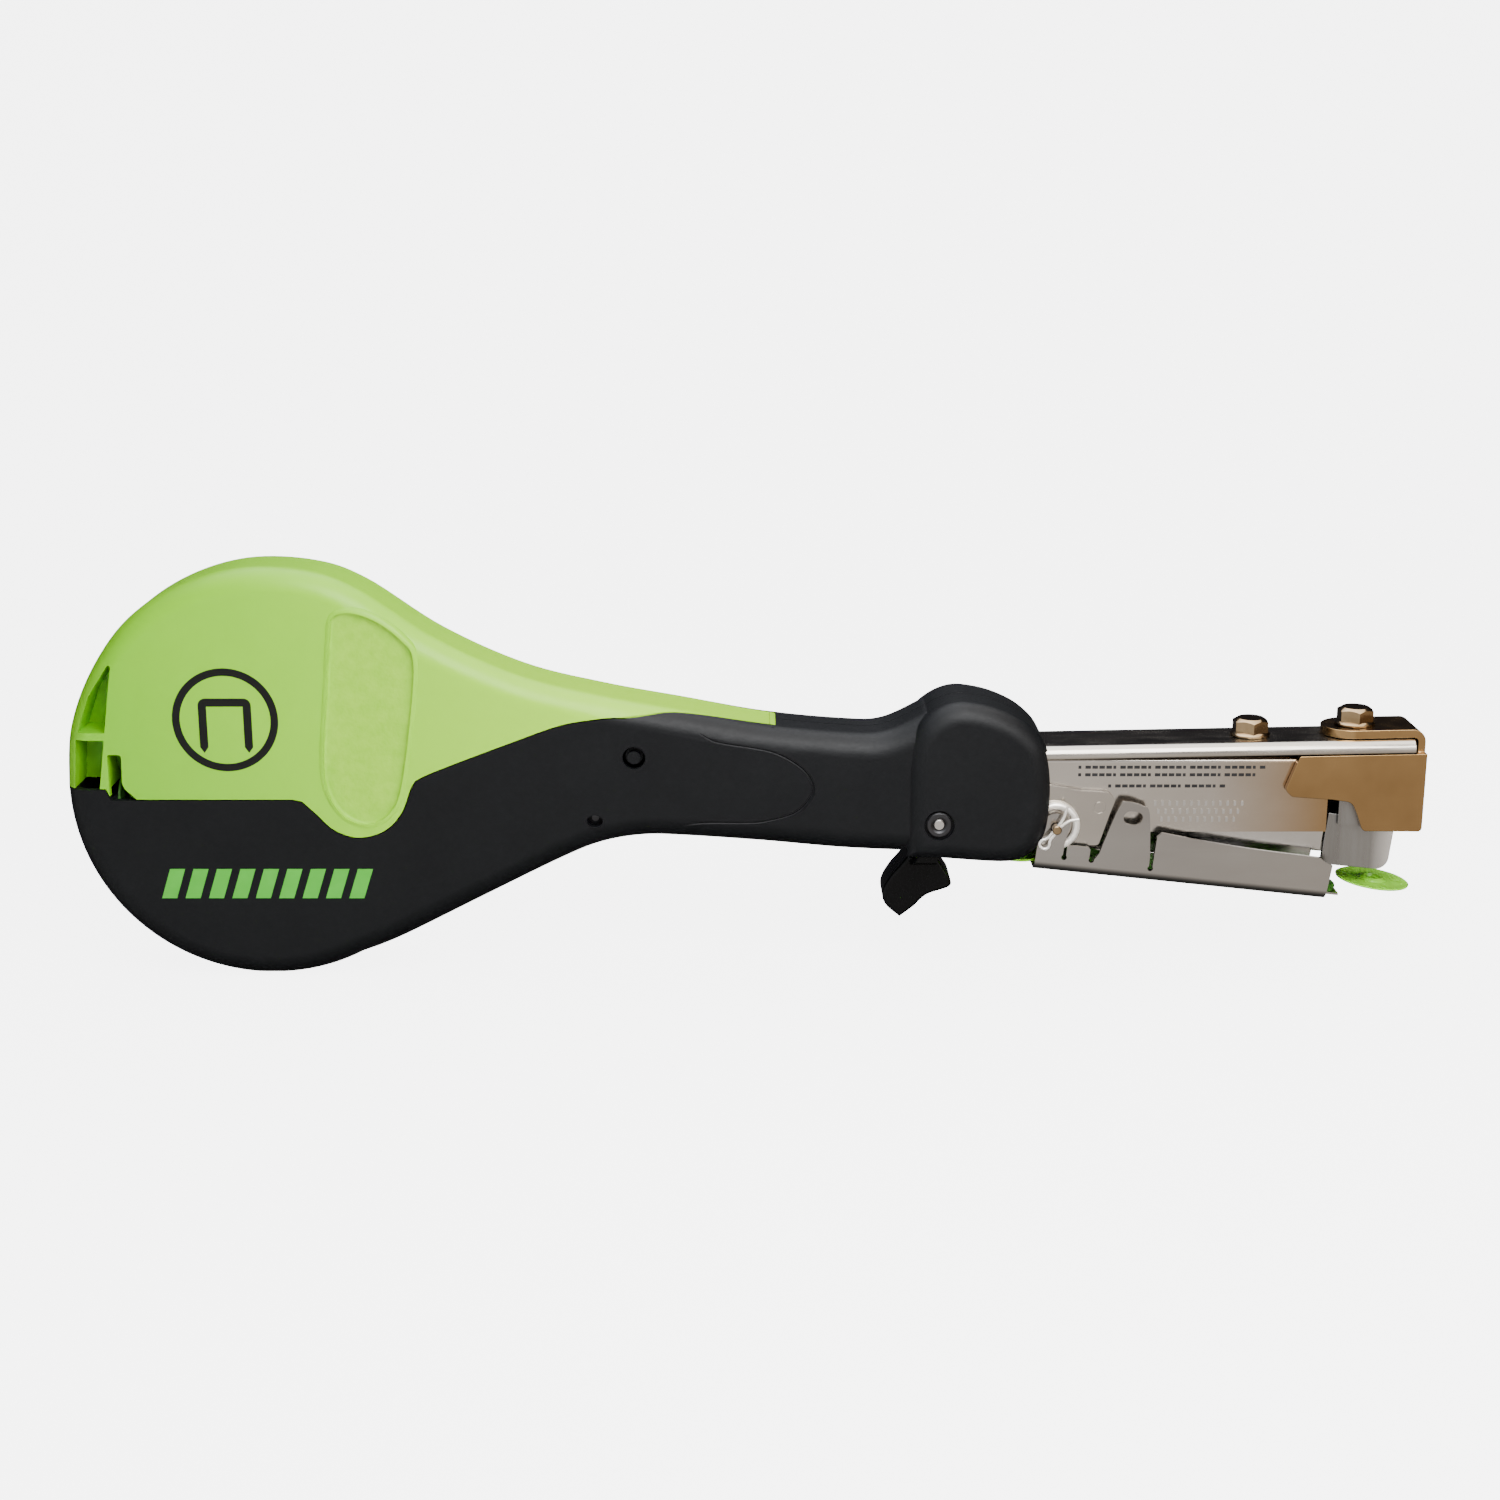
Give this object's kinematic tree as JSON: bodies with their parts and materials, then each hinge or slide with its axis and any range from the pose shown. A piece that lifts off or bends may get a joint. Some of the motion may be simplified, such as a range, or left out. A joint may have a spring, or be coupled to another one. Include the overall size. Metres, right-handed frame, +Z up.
{
  "type": "staple gun",
  "caption": "Cap-feeding hammer tacker: a lidded drum of plastic caps at the butt, a hollow handle and a sprung steel head that drives a staple through a cap at each blow.",
  "frame": {"origin": "centre of the bounding box", "axes": "+X from the butt to the nose, +Z up with the striking face down, Y across the width"},
  "size_m": [0.4668, 0.039, 0.1446],
  "materials": {
    "green_plastic": "satin moulded",
    "black_plastic": "fine matt texture",
    "green_cap": "translucent bright green",
    "nickel_steel": "bright nickel plate",
    "brushed_steel": "ground",
    "yellow_zinc": "yellowish zinc plate",
    "dark_steel": "oiled dark"
  },
  "bodies": {
    "handle": {"housing_near": "black_plastic", "housing_far": "black_plastic", "housing_screw_1": "dark_steel", "housing_screw_2": "dark_steel", "housing_screw_3": "dark_steel", "housing_screw_4": "dark_steel", "housing_screw_5": "dark_steel", "housing_screw_6": "dark_steel", "lid_hinge_pin": "brushed_steel", "cap_strip_handle": "green_cap", "hammer_frame": "nickel_steel", "side_channel": "nickel_steel", "pivot_cheek_near": "nickel_steel", "pivot_cheek_far": "nickel_steel", "retaining_ring_near": "nickel_steel", "retaining_ring_far": "nickel_steel", "front_shoe": "nickel_steel", "driver_guide": "brushed_steel", "striker_block": "dark_steel", "driver_blade": "brushed_steel", "head_bolt_rear": "yellow_zinc", "head_bolt_front": "yellow_zinc", "frame_anchor_pin": "brushed_steel", "return_spring": "brushed_steel", "lever_pivot_bolt": "brushed_steel", "lever_pivot_nut": "brushed_steel", "lever_spring": "brushed_steel"},
    "lid": {"drum_lid": "green_plastic"},
    "roll": {"cap_coil": "green_cap", "coil_core": "black_plastic"},
    "magazine": {"magazine_channel": "brushed_steel", "magazine_nose": "brushed_steel", "magazine_cover": "nickel_steel", "staple_core": "brushed_steel", "staple_stick": "brushed_steel", "spring_pin": "brushed_steel", "pusher_spring": "brushed_steel", "cap_rail": "nickel_steel", "cap_strip_rail": "green_cap", "front_cap": "green_cap", "rail_pivot_pin": "yellow_zinc", "split_cotter": "yellow_zinc"},
    "pusher": {"staple_pusher": "dark_steel"},
    "shuttle": {"feed_shuttle": "dark_steel"},
    "lever": {"release_lever": "black_plastic"}
  },
  "joints": [
    {"name": "lid_hinge", "type": "hinge", "parent": "handle", "child": "lid", "pos_m": [0.00878, 0, 0.01455], "axis": [0, 1, 0], "range_deg": [0, 70]},
    {"name": "roll_spin", "type": "hinge", "parent": "handle", "child": "roll", "pos_m": [-0.16072, 0, -0.00335], "axis": [0, 1, 0], "continuous": true},
    {"name": "magazine_swing", "type": "hinge", "parent": "handle", "child": "magazine", "pos_m": [0.10658, 0, -0.01795], "axis": [0, -1, 0], "range_deg": [0, 7], "stiffness_Nm_per_rad": 4, "springref_deg": -6.88, "deforming": ["return_spring"]},
    {"name": "pusher_slide", "type": "slide", "parent": "magazine", "child": "pusher", "axis": [0.9943, 0, -0.107], "range_m": [-0.036, 0], "stiffness_N_per_m": 15, "springref_m": 0.03},
    {"name": "feed_slide", "type": "slide", "parent": "magazine", "child": "shuttle", "axis": [0.9943, 0, -0.107], "range_m": [-0.0258, 0]},
    {"name": "lever_pull", "type": "hinge", "parent": "handle", "child": "lever", "pos_m": [0.06608, 0, -0.01595], "axis": [0, 1, 0], "range_deg": [0, 9], "stiffness_Nm_per_rad": 0.05, "springref_deg": -17.19}
  ],
  "couplings": [
    {"joint": "feed_slide", "follows": "magazine_swing", "m_per_rad": -0.21118}
  ]
}
